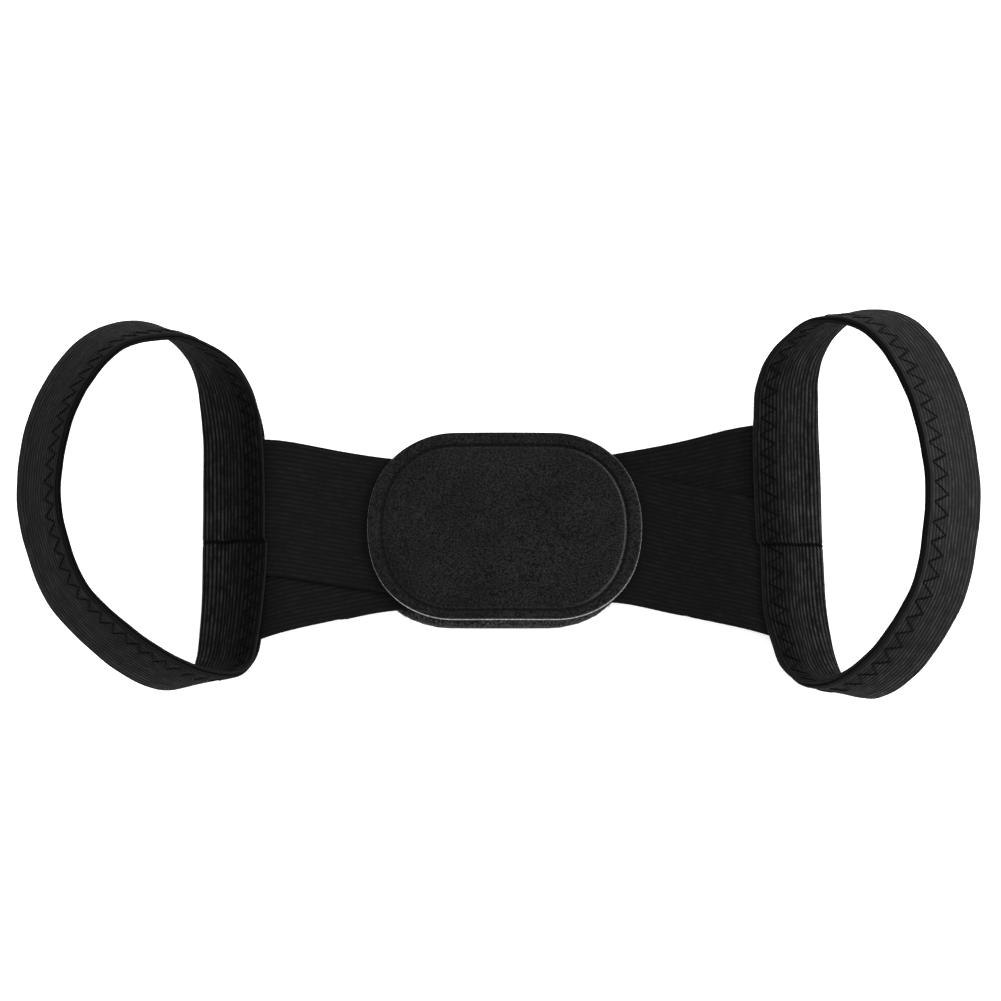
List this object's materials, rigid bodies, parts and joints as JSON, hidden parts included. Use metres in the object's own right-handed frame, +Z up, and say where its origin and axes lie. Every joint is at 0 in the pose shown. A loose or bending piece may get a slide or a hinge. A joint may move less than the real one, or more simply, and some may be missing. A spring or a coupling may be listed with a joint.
{
  "type": "posture corrector",
  "caption": "Back support of black elastic webbing: bands cross in an X under an oval pad and end in folded elastic arm loops, shown lying with the loops standing up.",
  "frame": {"origin": "under the middle of the bounding box, on the surface that the part lies on", "axes": "+X from the left arm loop to the right one, +Y towards the wearer's neck, +Z up, away from the surface and towards the side that faces away from the wearer's back"},
  "size_m": [0.3902, 0.1632, 0.0933],
  "materials": {
    "pad_cover": "matt brushed black cloth over soft foam",
    "pad_backing": "fuzzy dark grey cloth",
    "elastic": "black ribbed elastic webbing"
  },
  "bodies": {
    "root": {"pad_front": "pad_cover", "pad_back": "pad_backing", "back_band_upper": "elastic", "back_band_lower": "elastic", "arm_loop_left": "elastic", "arm_loop_right": "elastic"}
  },
  "joints": []
}
